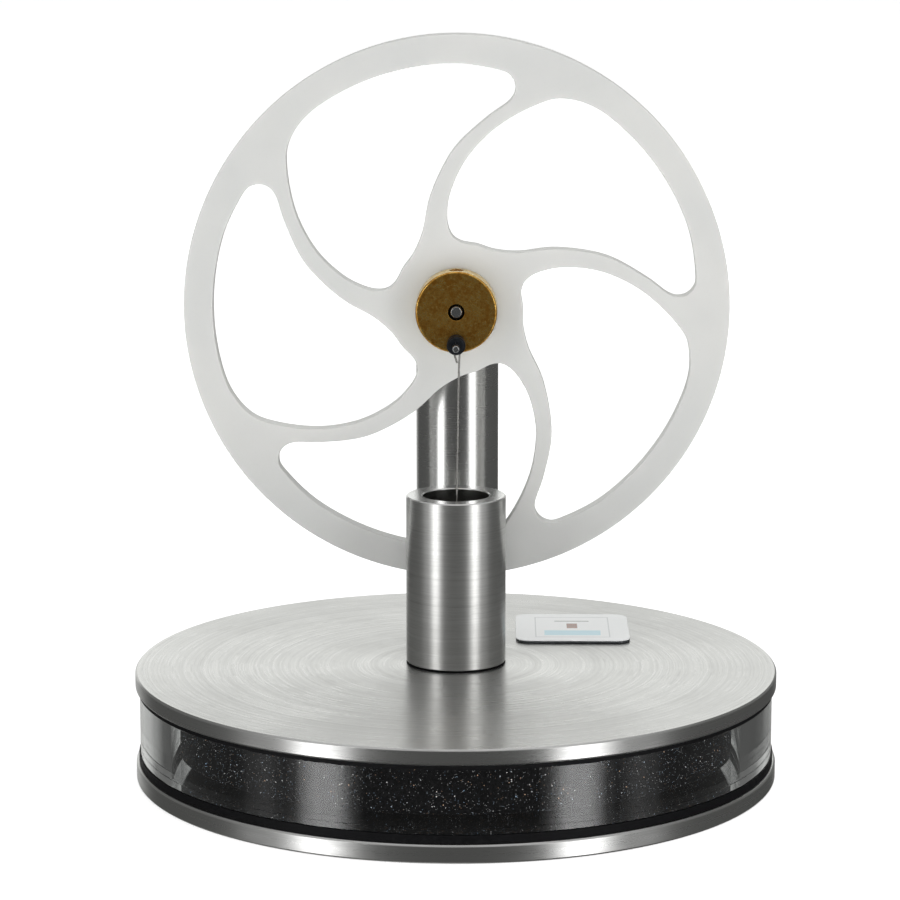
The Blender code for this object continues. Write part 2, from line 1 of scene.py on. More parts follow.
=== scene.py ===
"""Looks for a small hot-air engine: two turned plates, a clear ring, a foam displacer, an opal flywheel.

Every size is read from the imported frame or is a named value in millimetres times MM.
"""
import math

import bmesh
import bpy
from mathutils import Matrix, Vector


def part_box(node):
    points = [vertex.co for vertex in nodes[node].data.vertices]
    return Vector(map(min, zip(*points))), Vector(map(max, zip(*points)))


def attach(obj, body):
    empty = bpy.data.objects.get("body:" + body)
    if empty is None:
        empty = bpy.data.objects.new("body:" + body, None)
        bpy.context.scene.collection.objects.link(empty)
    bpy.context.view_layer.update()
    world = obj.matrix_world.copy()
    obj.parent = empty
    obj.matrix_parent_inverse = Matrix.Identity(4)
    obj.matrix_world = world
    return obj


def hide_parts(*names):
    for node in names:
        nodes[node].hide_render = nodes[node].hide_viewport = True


MM = 0.001

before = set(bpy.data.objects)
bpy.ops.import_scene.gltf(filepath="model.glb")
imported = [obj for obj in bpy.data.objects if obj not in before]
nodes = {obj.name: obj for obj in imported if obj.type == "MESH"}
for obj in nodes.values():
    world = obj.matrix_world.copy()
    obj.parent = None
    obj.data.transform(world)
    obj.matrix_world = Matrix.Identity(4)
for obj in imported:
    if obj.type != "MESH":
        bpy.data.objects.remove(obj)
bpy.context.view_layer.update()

FINE = 256                 # sides of the largest turned pieces
ROUND = 128                # sides of the middle-sized ones
SMALL = 48
ON_AXIS = 1e-7             # an outline point nearer to the axis than this is on it
SHARP = 32                 # degrees, an edge that turns more than this is shaded as an edge
EDGE = 0.06 * MM           # the broken edge that a turned corner has
SLIP = 0.02 * MM           # between a shaft and its hole
GAP = 0.05 * MM            # between two pieces that don't touch
BEYOND = 1 * MM            # how far a cutter sticks out of what it cuts
RING_WALL = 4.35 * MM
PLATE_CHAMFER = 0.25 * MM
SPIGOT = 5.6 * MM          # the cylinder's foot, in the top plate's hole
HUB_BOSS = 3.0 * MM        # the hub's narrow end, in the flywheel's hole
HUB_RECESS = 1.2 * MM      # the sunk ring round the shaft's end
SPOKES = 5
WINDOW_REACH = 35.4        # mm, the outer arc of a window
WINDOW_TURN = 0.4          # degrees, all windows together
WINDOW = [                 # (radius in mm, angle in degrees) round one window of the flywheel
    (35.0, 7.5), *((WINDOW_REACH, angle) for angle in (18, 30, 42)), (35.3, 54.0), (34.1, 62.5), (31.6, 68.4),
    (27.0, 77.0), (22.1, 85.3), (17.3, 92.0), (13.4, 95.4), (10.9, 93.9), (9.7, 86.0), (9.7, 71.0),
    (10.1, 56.0), (12.2, 41.5), (16.3, 31.8), (20.6, 23.2), (24.0, 16.8), (28.0, 8.6), (30.8, 3.6),
    (32.7, 2.7), (34.3, 4.2),
]


# ---- mesh helpers -------------------------------------------------------------------------------------

def show(name, mesh, material, place=(0, 0, 0), along="Z", sharp=SHARP):
    """Put a mesh in the scene, its own Z turned to the world axis named by along."""
    mesh.shade_smooth()
    mesh.set_sharp_from_angle(angle=math.radians(sharp))
    piece = bpy.data.objects.new(name, mesh)
    bpy.context.scene.collection.objects.link(piece)
    piece.location = place
    if along == "Y":
        piece.rotation_euler = (-math.pi / 2, 0, 0)
    if material:
        mesh.materials.append(material)
    return piece


def finish_mesh(name, bm):
    bmesh.ops.recalc_face_normals(bm, faces=bm.faces)
    mesh = bpy.data.meshes.new(name)
    bm.to_mesh(mesh)
    bm.free()
    return mesh


def round_corners(outline, radius, steps=3):
    """Replace each corner of a closed (radius, height) outline with a small arc.

    A ring beside each end of the arc keeps the flat next to it flat in its shading.
    """
    rounded = []
    count = len(outline)
    for i, corner in enumerate(outline):
        here = Vector(corner)
        before = Vector(outline[i - 1]) - here
        after = Vector(outline[(i + 1) % count]) - here
        if corner[0] < ON_AXIS:
            rounded.append(tuple(here))
            continue
        reach = min(radius, before.length * 0.3, after.length * 0.3)
        start = here + before.normalized() * reach
        end = here + after.normalized() * reach
        rounded.append(tuple(here + before.normalized() * reach * 1.5))
        for step in range(steps + 1):
            t = step / steps
            rounded.append(tuple(start * (1 - t) ** 2 + here * 2 * t * (1 - t) + end * t ** 2))
        rounded.append(tuple(here + after.normalized() * reach * 1.5))
    return rounded


def turned(name, outline, material, place=(0, 0, 0), along="Z", sides=ROUND, edge=EDGE, steps=3):
    """Revolve a closed (radius, height) outline about Z, its corners broken by edge."""
    if edge:
        outline = round_corners(outline, edge, steps)
    bm = bmesh.new()
    rings = []
    for radius, height in outline:
        if radius < ON_AXIS:
            rings.append([bm.verts.new((0, 0, height))])
            continue
        turn = [2 * math.pi * i / sides for i in range(sides)]
        rings.append([bm.verts.new((radius * math.cos(a), radius * math.sin(a), height)) for a in turn])
    for lower, upper in zip(rings, rings[1:] + rings[:1]):
        if len(lower) == len(upper) == 1:
            continue
        for i in range(sides):
            j = (i + 1) % sides
            below = [lower[k % len(lower)] for k in (i, j)]
            above = [upper[k % len(upper)] for k in (j, i)]
            bm.faces.new(list(dict.fromkeys(below + above)))
    return show(name, finish_mesh(name, bm), material, place, along)


def tube(inner, outer, bottom, top, chamfer=0.0):
    """Outline of a tube, or of a rod when inner is 0, chamfered on the outside only."""
    if not chamfer:
        return [(inner, bottom), (outer, bottom), (outer, top), (inner, top)]
    return [(inner, bottom), (outer - chamfer, bottom), (outer, bottom + chamfer),
            (outer, top - chamfer), (outer - chamfer, top), (inner, top)]


def extruded(name, outlines, thick):
    """Fill closed (x, y) outlines, the first outside and the others holes, and extrude them along Z."""
    bm = bmesh.new()
    edges = []
    for outline in outlines:
        verts = [bm.verts.new((x, y, 0)) for x, y in outline]
        edges += [bm.edges.new((verts[i - 1], verts[i])) for i in range(len(verts))]
    bmesh.ops.triangle_fill(bm, edges=edges, use_beauty=True)
    made = bmesh.ops.extrude_face_region(bm, geom=list(bm.faces))["geom"]
    moved = [item for item in made if isinstance(item, bmesh.types.BMVert)]
    bmesh.ops.translate(bm, verts=moved, vec=(0, 0, thick))
    return finish_mesh(name, bm)


def bevelled(piece, width, segments=3, angle=40):
    bevel = piece.modifiers.new("edges", "BEVEL")
    bevel.width = width
    bevel.segments = segments
    bevel.limit_method = "ANGLE"
    bevel.angle_limit = math.radians(angle)
    bevel.harden_normals = False
    return piece


def cut(piece, cutter):
    """Subtract cutter from piece for good, and drop the cutter."""
    boolean = piece.modifiers.new("cut", "BOOLEAN")
    boolean.object = cutter
    boolean.operation = "DIFFERENCE"
    boolean.solver = "EXACT"
    bpy.context.view_layer.update()
    solid = bpy.data.meshes.new_from_object(piece.evaluated_get(bpy.context.evaluated_depsgraph_get()))
    piece.modifiers.clear()
    piece.data = solid
    bpy.data.objects.remove(cutter)
    solid.shade_smooth()
    solid.set_sharp_from_angle(angle=math.radians(SHARP))
    return piece


def circle(radius, sides):
    return [(radius * math.cos(2 * math.pi * i / sides), radius * math.sin(2 * math.pi * i / sides))
            for i in range(sides)]


def smooth_loop(points, steps):
    """Closed Catmull-Rom curve through points, with steps straight pieces between two of them."""
    loop = []
    for i in range(len(points)):
        p0, p1, p2, p3 = (points[(i + k) % len(points)] for k in (-1, 0, 1, 2))
        for step in range(steps):
            t = step / steps
            loop.append(tuple(
                0.5 * (2 * b + (c - a) * t + (2 * a - 5 * b + 4 * c - d) * t ** 2
                       + (3 * b - a - 3 * c + d) * t ** 3)
                for a, b, c, d in zip(p0, p1, p2, p3)
            ))
    return loop


# ---- material helpers ---------------------------------------------------------------------------------

class Tree:
    """A node tree, with short calls for the nodes used here."""

    def __init__(self, tree):
        self.tree = tree

    def node(self, kind, **settings):
        made = self.tree.nodes.new(kind)
        for key, value in settings.items():
            setattr(made, key, value)
        return made

    def set(self, node, socket, value):
        """Link an output or set a constant."""
        target = node.inputs[socket]
        if isinstance(value, bpy.types.NodeSocket):
            self.tree.links.new(value, target)
        else:
            target.default_value = value

    def math(self, operation, a, b=0.0):
        made = self.node("ShaderNodeMath", operation=operation)
        self.set(made, 0, a)
        self.set(made, 1, b)
        return made.outputs[0]

    def split(self, vector):
        made = self.node("ShaderNodeSeparateXYZ")
        self.set(made, 0, vector)
        return made.outputs

    def spread(self, value, low, high, to_low=0.0, to_high=1.0, smooth=False):
        """Map low..high to to_low..to_high, flat outside."""
        made = self.node("ShaderNodeMapRange")
        made.interpolation_type = "SMOOTHSTEP" if smooth else "LINEAR"
        for index, number in enumerate((value, low, high, to_low, to_high)):
            self.set(made, index, number)
        return made.outputs[0]

    def ramp(self, value, stops, interpolation="LINEAR", tint=(1, 1, 1)):
        """Grey levels at (place, level) stops, times tint."""
        made = self.node("ShaderNodeValToRGB")
        band = made.color_ramp
        band.interpolation = interpolation
        while len(band.elements) < len(stops):
            band.elements.new(0.5)
        for element, (place, level) in zip(band.elements, stops):
            element.position = place
            element.color = (*(level * part for part in tint), 1)
        self.set(made, 0, value)
        return made.outputs[0]

    def mix(self, factor, a, b, blend="MIX"):
        made = self.node("ShaderNodeMix", data_type="RGBA", blend_type=blend)
        self.set(made, 0, factor)
        for index, value in ((6, a), (7, b)):
            self.set(made, index, value if isinstance(value, bpy.types.NodeSocket) else (*value, 1))
        return made.outputs[2]

    def switch(self, light_path, otherwise, chosen):
        """Shader that is chosen for one kind of ray and otherwise for the rest."""
        made = self.node("ShaderNodeMixShader")
        self.set(made, 0, self.node("ShaderNodeLightPath").outputs[light_path])
        self.set(made, 1, otherwise)
        self.set(made, 2, chosen)
        return made.outputs[0]


class Paint(Tree):
    """A material on one Principled shader, its pattern in the piece's own coordinates."""

    def __init__(self, name, colour=(0.8, 0.8, 0.8), metallic=0.0, roughness=0.4, **sockets):
        self.material = bpy.data.materials.new(name)
        self.material.use_nodes = True
        super().__init__(self.material.node_tree)
        self.shader = self.tree.nodes["Principled BSDF"]
        self.set(self.shader, "Base Color", (*colour, 1))
        self.set(self.shader, "Metallic", metallic)
        self.set(self.shader, "Roughness", roughness)
        for socket, value in sockets.items():
            self.set(self.shader, socket.replace("_", " "), value)
        self.where = self.node("ShaderNodeTexCoord").outputs["Object"]

    def axes(self):
        return self.split(self.where)

    def vector(self, x=0.0, y=0.0, z=0.0):
        made = self.node("ShaderNodeCombineXYZ")
        for index, value in enumerate((x, y, z)):
            self.set(made, index, value)
        return made.outputs[0]

    def scaled(self, factors):
        made = self.node("ShaderNodeVectorMath", operation="MULTIPLY")
        self.set(made, 0, self.where)
        self.set(made, 1, factors)
        return made.outputs[0]

    def radius(self):
        x, y, _ = self.axes()
        return self.math("SQRT", self.math("ADD", self.math("MULTIPLY", x, x), self.math("MULTIPLY", y, y)))

    def noise(self, vector, scale, detail=2.0, roughness=0.5):
        made = self.node("ShaderNodeTexNoise")
        self.set(made, "Vector", vector)
        self.set(made, "Scale", scale)
        self.set(made, "Detail", detail)
        self.set(made, "Roughness", roughness)
        return made.outputs["Fac"]

    def bump(self, height, strength, distance):
        made = self.node("ShaderNodeBump")
        self.set(made, "Height", height)
        self.set(made, "Strength", strength)
        self.set(made, "Distance", distance)
        self.set(self.shader, "Normal", made.outputs[0])

    def turned_tangent(self):
        """Grain that runs round the piece's own Z."""
        made = self.node("ShaderNodeTangent", direction_type="RADIAL", axis="Z")
        self.set(self.shader, "Anisotropic Rotation", 0.25)
        self.set(self.shader, "Tangent", made.outputs[0])


def lathe_metal(name, bright, dull, roughness, anisotropy, groove=0.6, coarse=900, fine=5200, vary=0.12,
                broken=0.6, foot=None):
    """Metal with the fine concentric lines of a lathe tool, on faces and sides alike.

    coarse and fine are the scales of two sets of lines, groove their depth in the bump and vary the swing of
    the roughness. broken is how far, in mm, the lines wander through the noise, so that none of them goes all
    the way round. foot is a (low, high) pair of heights between which the metal gets darker downwards, a
    painted shade at the piece's foot.
    """
    paint = Paint(name, bright, 1.0, roughness, Anisotropic=anisotropy)
    radius = paint.radius()
    height = paint.axes()[2]
    wander = paint.math("MULTIPLY", paint.noise(paint.where, 220, 2.0, 0.5), broken * MM)
    lines = paint.vector(radius, height, wander)
    broad = paint.noise(lines, coarse, 3.0, 0.6)
    thin = paint.noise(lines, fine, 2.0, 0.7)
    marks = paint.math("ADD", paint.math("MULTIPLY", broad, 0.45), paint.math("MULTIPLY", thin, 0.55))
    smear = paint.noise(paint.where, 60, 3.0, 0.6)
    tone = paint.math("ADD", paint.math("MULTIPLY", marks, 0.75), paint.math("MULTIPLY", smear, 0.25))
    shade = paint.spread(tone, 0.3, 0.7)
    colour = paint.mix(shade, dull, bright)
    if foot:
        low, high = foot
        # painted shade: the metal is darkened between the foot's heights, darkest at the bottom
        painted_foot_shade = paint.spread(height, low, high, 0.86, 1.0)
        colour = paint.mix(1.0, colour, paint.vector(painted_foot_shade, painted_foot_shade, painted_foot_shade), "MULTIPLY")
    paint.set(paint.shader, "Base Color", colour)
    rough = paint.spread(tone, 0.3, 0.7, roughness + vary, roughness - vary * 0.6)
    paint.set(paint.shader, "Roughness", rough)
    paint.bump(marks, groove, 0.004 * MM)
    paint.turned_tangent()
    return paint.material


def brass_material():
    """Turned brass with bright nicks. The hub's side gets a painted gleam, and its recess a painted shade,
    near black.
    """
    hub_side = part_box("crank_hub")[1].x - SLIP
    recess = HUB_RECESS + 0.1 * MM
    recess_below = 0.12 * MM
    paint = Paint("brass_turned", (0.6, 0.37, 0.09), 1.0, 0.3)
    blotch = paint.noise(paint.where, 520, 3.0, 0.6)
    specks = paint.noise(paint.where, 1700, 3.0, 0.7)
    tone = paint.math("ADD", paint.math("MULTIPLY", blotch, 0.5), paint.math("MULTIPLY", specks, 0.5))
    shade = paint.spread(tone, 0.42, 0.58)
    colour = paint.mix(shade, (0.54, 0.24, 0.033), (1.0, 0.6, 0.15))
    bright_nick = paint.spread(specks, 0.59, 0.65)
    colour = paint.mix(bright_nick, colour, (1.0, 0.68, 0.22))
    # painted highlight: the hub's side is made lighter and yellower, a painted gleam
    painted_gleam_side = paint.math("GREATER_THAN", paint.radius(), hub_side)
    colour = paint.mix(paint.math("MULTIPLY", painted_gleam_side, 0.8), colour, (1.0, 0.83, 0.42))
    # painted shade: the sunk ring round the shaft's end is painted near black
    around_shaft = paint.math("LESS_THAN", paint.radius(), recess)
    below_face = paint.math("GREATER_THAN", paint.axes()[2], recess_below)
    colour = paint.mix(paint.math("MULTIPLY", around_shaft, below_face), colour, (0.02, 0.014, 0.006))
    paint.set(paint.shader, "Base Color", colour)
    paint.set(paint.shader, "Roughness", paint.spread(tone, 0.3, 0.7, 0.42, 0.18))
    paint.bump(specks, 0.8, 0.03 * MM)
    return paint.material


def opal_material():
    """Milky white acrylic, a little translucent."""
    paint = Paint("opal_acrylic", (0.80, 0.80, 0.785), 0.0, 0.32, Subsurface_Weight=0.4, IOR=1.49)
    paint.set(paint.shader, "Subsurface Radius", (1.0, 1.0, 0.95))
    paint.set(paint.shader, "Subsurface Scale", 2.0 * MM)
    cloud = paint.noise(paint.where, 45, 3.0, 0.55)
    grain = paint.noise(paint.where, 4000, 2.0, 0.6)
    shade = paint.spread(cloud, 0.35, 0.65)
    paint.set(paint.shader, "Base Color", paint.mix(shade, (0.545, 0.55, 0.54), (0.59, 0.59, 0.575)))
    paint.set(paint.shader, "Roughness", paint.spread(grain, 0.3, 0.7, 0.36, 0.27))
    paint.bump(grain, 0.1, 0.01 * MM)
    return paint.material


def acrylic_material():
    """Clear acrylic with a faint film. It casts only a faint shadow."""
    paint = Paint("clear_acrylic_ring", (0.97, 0.98, 0.98), 0.0, 0.015, Transmission_Weight=1.0, IOR=1.49)
    film = paint.noise(paint.scaled((1, 1, 6)), 120, 3.0, 0.6)
    paint.set(paint.shader, "Roughness", paint.spread(film, 0.4, 0.8, 0.0, 0.04))
    clear = paint.node("ShaderNodeBsdfTransparent")
    paint.set(clear, "Color", (0.9, 0.91, 0.91, 1))
    both = paint.switch("Is Shadow Ray", paint.shader.outputs[0], clear.outputs[0])
    paint.set(paint.tree.nodes["Material Output"], "Surface", both)
    return paint.material


def foam_material():
    """Black foam with mineral glitter: few bright flecks, more faint ones. Its colour also glows, a painted
    sparkle on the flecks.
    """
    paint = Paint("glitter_foam", (0.012, 0.012, 0.013), 0.0, 0.75, Specular_IOR_Level=0.03)
    grit = paint.noise(paint.where, 2600, 3.0, 0.7)
    colour = paint.mix(paint.spread(grit, 0.45, 0.75), (0.0015, 0.0015, 0.0018), (0.009, 0.009, 0.0095))
    for scale, rare, size, bright in ((3400, 0.93, 0.2, 0.9), (5200, 0.72, 0.24, 0.24)):
        cell = paint.node("ShaderNodeTexVoronoi", feature="F1")
        paint.set(cell, "Vector", paint.where)
        paint.set(cell, "Scale", scale)
        hue = paint.node("ShaderNodeSeparateColor")
        paint.set(hue, 0, cell.outputs["Color"])
        chosen = paint.math("GREATER_THAN", hue.outputs[0], rare)
        inside = paint.math("LESS_THAN", cell.outputs["Distance"], size)
        tint = paint.mix(paint.spread(hue.outputs[1], 0.55, 1.0), (bright,) * 3,
                         (bright * 0.45, bright * 0.7, bright))
        warm = paint.mix(paint.math("GREATER_THAN", hue.outputs[2], 0.88), tint,
                         (bright, bright * 0.65, bright * 0.42))
        colour = paint.mix(paint.math("MULTIPLY", chosen, inside), colour, warm)
    paint.set(paint.shader, "Base Color", colour)
    # painted glints: the foam glows in its own colour, so its flecks sparkle without a lamp
    paint.set(paint.shader, "Emission Color", colour)
    paint.set(paint.shader, "Emission Strength", 0.7)
    paint.bump(grit, 0.6, 0.08 * MM)
    return paint.material


def rubber_material():
    """Dull black rubber."""
    paint = Paint("black_gasket", (0.01, 0.01, 0.011), 0.0, 0.5, Specular_IOR_Level=0.08)
    grain = paint.noise(paint.where, 1800, 3.0, 0.6)
    paint.set(paint.shader, "Base Color", paint.mix(grain, (0.002, 0.002, 0.0022), (0.008, 0.008, 0.009)))
    paint.set(paint.shader, "Roughness", paint.spread(grain, 0.3, 0.7, 0.35, 0.6))
    paint.bump(grain, 0.3, 0.02 * MM)
    return paint.material


def fine_metal(name, bright, dull, roughness):
    """Drawn or ground metal for small steel pieces."""
    paint = Paint(name, bright, 1.0, roughness)
    grain = paint.noise(paint.scaled((1, 1, 0.15)), 5000, 2.0, 0.6)
    paint.set(paint.shader, "Base Color", paint.mix(grain, dull, bright))
    paint.set(paint.shader, "Roughness", paint.spread(grain, 0.3, 0.7, roughness + 0.1, roughness - 0.05))
    paint.bump(grain, 0.2, 0.005 * MM)
    return paint.material


def powdery(name, dark, light, roughness, specular=0.5):
    """Matt moulded or pressed material with a fine grain."""
    paint = Paint(name, light, 0.0, roughness, Specular_IOR_Level=specular)
    grain = paint.noise(paint.where, 1500, 4.0, 0.65)
    paint.set(paint.shader, "Base Color", paint.mix(paint.spread(grain, 0.35, 0.65), dark, light))
    paint.set(paint.shader, "Roughness", paint.spread(grain, 0.3, 0.7, roughness + 0.1, roughness - 0.08))
    paint.bump(grain, 0.25, 0.02 * MM)
    return paint.material


def badge_material():
    """White plate with a dark side and a generic print: a frame, a blue bar, a grey rule, a brown block."""
    paint = Paint("printed_plate", (0.75, 0.78, 0.8), 0.0, 0.35)
    x, y, z = paint.axes()
    grain = paint.noise(paint.where, 1500, 3.0, 0.6)
    white = paint.mix(grain, (0.86, 0.88, 0.885), (0.93, 0.945, 0.95))

    def band(value, middle, half):
        return paint.math("LESS_THAN", paint.math("ABSOLUTE", paint.math("SUBTRACT", value, middle)), half)

    def box_mask(half_x, half_y, middle_y=0.0):
        return paint.math("MULTIPLY", band(x, 0.0, half_x), band(y, middle_y, half_y))

    line = paint.math("SUBTRACT", box_mask(5.6 * MM, 6.4 * MM), box_mask(5.42 * MM, 6.1 * MM))
    printed = paint.mix(line, white, (0.62, 0.64, 0.65))
    printed = paint.mix(box_mask(4.2 * MM, 1.5 * MM, -3.6 * MM), printed, (0.5, 0.76, 0.86))
    printed = paint.mix(box_mask(2.6 * MM, 0.25 * MM, 3.8 * MM), printed, (0.3, 0.3, 0.3))
    printed = paint.mix(box_mask(0.8 * MM, 1.5 * MM, 0.8 * MM), printed, (0.28, 0.14, 0.1))
    side = paint.math("LESS_THAN", z, 0.3 * MM)
    paint.set(paint.shader, "Base Color", paint.mix(side, printed, (0.06, 0.065, 0.07)))
    paint.set(paint.shader, "Roughness", paint.spread(grain, 0.3, 0.7, 0.16, 0.08))
    return paint.material


def make_materials():
    return {
        "plate": lathe_metal("turned_plate", (0.81, 0.81, 0.8), (0.56, 0.56, 0.55), 0.28, 0.65,
                             groove=0.9, coarse=2200, fine=9000),
        # the chamber's floor: smoother, and darker than the plate, a painted shade under the foam
        "plate_inside": lathe_metal("polished_floor_painted_shade", (0.45, 0.45, 0.455), (0.35, 0.35, 0.355), 0.07, 0.5,
                                    groove=0.1, coarse=2200, fine=9000, vary=0.02),
        # the cylinder's foot gets a painted shade, darker downwards
        "cylinder": lathe_metal("turned_cylinder", (0.82, 0.82, 0.805), (0.56, 0.56, 0.545), 0.34, 0.55,
                                groove=0.7, coarse=1600, fine=6000, vary=0.05, broken=0.8,
                                foot=(15 * MM, 40 * MM)),
        # the cylinder's faced rim: smoother, and lighter than its side, a painted highlight on the top
        "rim": lathe_metal("faced_rim_painted_highlight", (0.93, 0.93, 0.925), (0.8, 0.8, 0.8), 0.2, 0.5,
                           groove=0.3, coarse=2200, fine=9000),
        # the inside of the bore: its dull tone darker than the cylinder's outside, a painted shade
        "bore": lathe_metal("bore_painted_shade", (0.82, 0.82, 0.79), (0.4, 0.4, 0.385), 0.16, 0.4,
                            groove=0.5, coarse=2000, fine=9000, vary=0.08),
        "tower": lathe_metal("polished_tower", (0.78, 0.78, 0.77), (0.66, 0.66, 0.65), 0.25, 0.65,
                             groove=0.2, coarse=2500, fine=9000, vary=0.05),
        "yoke": lathe_metal("milled_yoke", (0.5, 0.5, 0.51), (0.35, 0.35, 0.35), 0.3, 0.0),
        "brass": brass_material(),
        "opal": opal_material(),
        "acrylic": acrylic_material(),
        "foam": foam_material(),
        "rubber": rubber_material(),
        "steel": fine_metal("ground_steel", (0.62, 0.63, 0.64), (0.42, 0.43, 0.44), 0.2),
        "dark": fine_metal("black_oxide", (0.05, 0.05, 0.052), (0.02, 0.02, 0.02), 0.35),
        "nickel": fine_metal("nickel_plating", (0.7, 0.67, 0.62), (0.55, 0.52, 0.48), 0.15),
        "wire": fine_metal("spring_wire", (0.44, 0.43, 0.41), (0.26, 0.255, 0.245), 0.22),
        "plastic": powdery("black_tube", (0.002, 0.003, 0.004), (0.007, 0.009, 0.013), 0.42, specular=0.25),
        "graphite": powdery("pressed_graphite", (0.02, 0.02, 0.022), (0.06, 0.06, 0.063), 0.4),
        "ptfe": powdery("white_ptfe_bush", (0.7, 0.7, 0.69), (0.82, 0.82, 0.8), 0.4),
        "badge": badge_material(),
    }


# ---- the object -------------------------------------------------------------------------------------

def middle(node):
    """Centre of a CAD node's box."""
    low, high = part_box(node)
    return (low + high) / 2


def stand_in(piece, body, slot, *cad_nodes):
    """Say what a new piece rides on and what it replaces. slot is not used."""
    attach(piece, body)
    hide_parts(*cad_nodes)
    return piece


def make_base(mats):
    """The bottom plate, polished inside the chamber, where its metal is darker, a painted shade, and with the
    guide pin's hole, the seals and the ring.
    """
    low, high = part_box("bottom_plate")
    pin_low, pin_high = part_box("guide_pin")
    ring_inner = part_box("chamber_ring")[1].x - RING_WALL
    socket = pin_high.x + SLIP
    seat = pin_low.z - GAP
    plate = turned("bottom_plate_turned", [
        (0, low.z), (high.x - PLATE_CHAMFER, low.z), (high.x, low.z + PLATE_CHAMFER),
        (high.x, high.z - PLATE_CHAMFER), (high.x - PLATE_CHAMFER, high.z), (ring_inner, high.z),
        (socket, high.z), (socket, seat), (0, seat),
    ], mats["plate"], sides=FINE)
    plate.data.materials.append(mats["plate_inside"])
    # the chamber's floor takes the darker metal, a painted shade
    for face in plate.data.polygons:
        inside_chamber = face.center.xy.length < ring_inner and face.center.z > seat + EDGE
        if inside_chamber and face.normal.z > 0.9:
            face.material_index = 1
    stand_in(plate, "base", "turned_aluminium", "bottom_plate")
    for node, paint, slot in (
        ("bottom_seal", "rubber", "black_rubber"),
        ("top_seal", "rubber", "black_rubber"),
        ("chamber_ring", "acrylic", "clear_acrylic"),
    ):
        low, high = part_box(node)
        outline = tube(ring_inner, high.x, low.z, high.z)
        stand_in(turned(f"{node}_round", outline, mats[paint], sides=FINE), "base", slot, node)


def make_top_plate(mats):
    """Its holes are for the cylinder's foot and for the tower's countersunk screw, which comes from below."""
    low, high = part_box("top_plate")
    outline = tube(0, high.x, low.z, high.z, PLATE_CHAMFER)
    plate = turned("top_plate_turned", outline, mats["plate"], sides=FINE)
    bottom, top = low.z - BEYOND, high.z + BEYOND
    cylinder_y = middle("power_cylinder").y
    cut(plate, turned("hole_tool", tube(0, SPIGOT + GAP, bottom, top), None, (0, cylinder_y, 0), edge=0))
    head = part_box("tower_screw")[1].x + GAP
    shank = 1.55 * MM
    straight, countersunk = 0.05 * MM, 1.45 * MM
    screw_hole = [(0, bottom), (head, bottom), (head, low.z + straight), (shank, low.z + countersunk),
                  (shank, top), (0, top)]
    tower_y = middle("tower").y
    cut(plate, turned("screw_tool", screw_hole, None, (0, tower_y, 0), sides=SMALL, edge=0))
    stand_in(plate, "base", "turned_aluminium", "top_plate")


def make_cylinder(mats):
    """An open tube with a narrower foot, and the gasket round the foot."""
    low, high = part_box("power_cylinder")
    gasket_low, gasket_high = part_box("cylinder_gasket")
    place = (0, middle("power_cylinder").y, 0)
    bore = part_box("power_piston")[1].x + GAP
    outer = high.x
    foot = gasket_high.z + GAP
    chamfer = 0.15 * MM
    cylinder = turned("power_cylinder_turned", [
        (bore, low.z), (SPIGOT, low.z), (SPIGOT, foot), (outer - chamfer, foot), (outer, foot + chamfer),
        (outer, high.z - chamfer), (outer - chamfer, high.z), (bore + chamfer, high.z),
        (bore, high.z - chamfer),
    ], mats["cylinder"], place, edge=0.03 * MM)
    cylinder.data.materials.append(mats["bore"])
    cylinder.data.materials.append(mats["rim"])
    for face in cylinder.data.polygons:
        # the bore takes the darker metal, a painted shade
        if face.center.xy.length < bore + 0.01 * MM:
            face.material_index = 1
        # the rim takes the lighter metal, a painted highlight
        elif face.center.z > high.z - chamfer:
            face.material_index = 2
    stand_in(cylinder, "base", "brushed_steel", "power_cylinder")
    outline = tube(SPIGOT + GAP, gasket_high.x, gasket_low.z, gasket_high.z)
    gasket = turned("cylinder_gasket_round", outline, mats["rubber"], place)
    stand_in(gasket, "base", "black_rubber", "cylinder_gasket")


def make_tower(mats):
    """A solid post with the screw's hole in its foot and the bearings' bore across its head."""
    low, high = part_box("tower")
    centre = middle("tower")
    screw_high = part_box("tower_screw")[1]
    chamfer = 0.4 * MM
    hole = 1.52 * MM
    tower = turned("tower_polished", [
        (hole, low.z), (high.x, low.z), (high.x, high.z - chamfer), (high.x - chamfer, high.z),
        (0, high.z), (0, screw_high.z + 1 * MM), (hole, screw_high.z + 0.5 * MM),
    ], mats["tower"], (0, centre.y, 0), steps=2)
    reach = high.x + BEYOND
    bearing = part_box("front_bearing_outer_ring")[1].x + SLIP
    place = (0, centre.y, middle("shaft").z)
    cut(tower, turned("bearing_tool", tube(0, bearing, -reach, reach), None, place, "Y", sides=64, edge=0))
    stand_in(tower, "base", "polished_aluminium", "tower")


def make_badge(mats):
    """A thin plate with round corners."""
    low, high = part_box("badge")
    centre = (low + high) / 2
    corner = 2 * MM
    corner_steps = 8
    half_x = (high.x - low.x) / 2 - corner
    half_y = (high.y - low.y) / 2 - corner
    outline = []
    for quarter, (sign_x, sign_y) in enumerate(((1, 1), (-1, 1), (-1, -1), (1, -1))):
        for step in range(corner_steps + 1):
            angle = math.pi / 2 * (quarter + step / corner_steps)
            x = sign_x * half_x + corner * math.cos(angle)
            y = sign_y * half_y + corner * math.sin(angle)
            outline.append((x, y))
    piece = show("badge_plate", extruded("badge_plate", [outline], high.z - low.z), mats["badge"],
                 (centre.x, centre.y, low.z))
    stand_in(bevelled(piece, 0.08 * MM), "base", "printed_badge", "badge")


